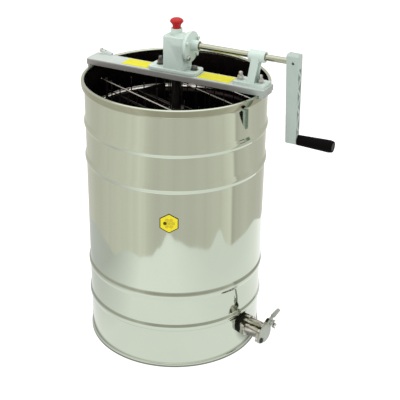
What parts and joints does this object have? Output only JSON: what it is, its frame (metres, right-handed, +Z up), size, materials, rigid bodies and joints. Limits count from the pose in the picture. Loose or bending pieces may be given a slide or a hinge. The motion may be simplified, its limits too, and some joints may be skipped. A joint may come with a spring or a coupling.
{
  "type": "hand crank centrifuge",
  "caption": "Tall steel tank with a comb basket inside, turned by a side crank through bevel gears on a cross bar, with a push knob and a honey gate.",
  "frame": {"origin": "centre of the ring that the tank stands on, at floor level", "axes": "+Z up along the basket's shaft, +X along the cross bar towards the crank, +Y to the back"},
  "size_m": [0.5377, 0.3826, 0.6995],
  "materials": {
    "tank_steel": "polished stainless sheet",
    "grey_paint": "pale grey-green enamel on castings",
    "zinc": "zinc plated",
    "gear_steel": "machined, oiled",
    "bronze": "turned bronze",
    "shaft_steel": "ground",
    "crank_alloy": "pale grey paint on a die casting",
    "black_plastic": "satin",
    "red_plastic": "gloss",
    "basket_steel": "welded stainless wire",
    "black_rubber": "matt",
    "gate_metal": "cast stainless, brushed"
  },
  "bodies": {
    "tank": {"tank_shell": "tank_steel", "tank_floor": "tank_steel", "cross_bar": "grey_paint", "rim_screws": "zinc", "hinge_bolt": "zinc", "gear_housing": "grey_paint", "gear_cover": "grey_paint", "cover_screws": "zinc", "bearing_pedestal": "grey_paint", "bar_nuts": "zinc", "bearings": "bronze", "thrust_pad": "gear_steel", "gate_gasket": "black_rubber", "gate_body": "gate_metal", "gate_nut": "gate_metal", "gate_pins": "gate_metal"},
    "basket": {"basket_shaft": "basket_steel", "drive_pinion": "gear_steel", "basket_top_ring": "basket_steel", "basket_middle_ring": "basket_steel", "basket_bottom_ring": "basket_steel", "basket_posts": "basket_steel", "outer_screen_front": "basket_steel", "inner_screen_front": "basket_steel", "outer_screen_back": "basket_steel", "inner_screen_back": "basket_steel", "top_spider": "basket_steel", "bottom_spider": "basket_steel", "comb_rests": "basket_steel"},
    "crank": {"crank_shaft": "shaft_steel", "drive_gear": "gear_steel", "crank_arm": "crank_alloy", "grip_spindle": "shaft_steel"},
    "grip": {"crank_grip": "black_plastic"},
    "knob": {"brake_knob": "red_plastic", "brake_spindle": "shaft_steel", "knob_spring": "gear_steel"},
    "gate_flap": {"gate_flap": "gate_metal"},
    "wing_nut": {"wing_nut": "gate_metal"}
  },
  "joints": [
    {"name": "basket_spin", "type": "hinge", "parent": "tank", "child": "basket", "pos_m": [0, 0, 0], "axis": [0, 0, 1], "continuous": true},
    {"name": "crank_spin", "type": "hinge", "parent": "tank", "child": "crank", "pos_m": [0, 0, 0.65], "axis": [1, 0, 0], "continuous": true},
    {"name": "grip_spin", "type": "hinge", "parent": "crank", "child": "grip", "pos_m": [0.27, 0, 0.4955], "axis": [1, 0, 0], "continuous": true},
    {"name": "knob_push", "type": "slide", "parent": "tank", "child": "knob", "axis": [0, 0, -1], "range_m": [0, 0.0028], "stiffness_N_per_m": 600, "springref_m": -0.003, "deforming": ["knob_spring"]},
    {"name": "gate_swing", "type": "hinge", "parent": "tank", "child": "gate_flap", "pos_m": [0.23537, -0.05876, 0.052], "axis": [0.9848, -0.1736, 0], "range_deg": [0, 95]},
    {"name": "wing_nut_turn", "type": "hinge", "parent": "tank", "child": "wing_nut", "pos_m": [0.24771, -0.02337, 0.077], "axis": [0.9848, -0.1736, 0], "range_deg": [0, 720]}
  ],
  "couplings": [
    {"joint": "crank_spin", "follows": "basket_spin", "ratio": 0.5}
  ]
}
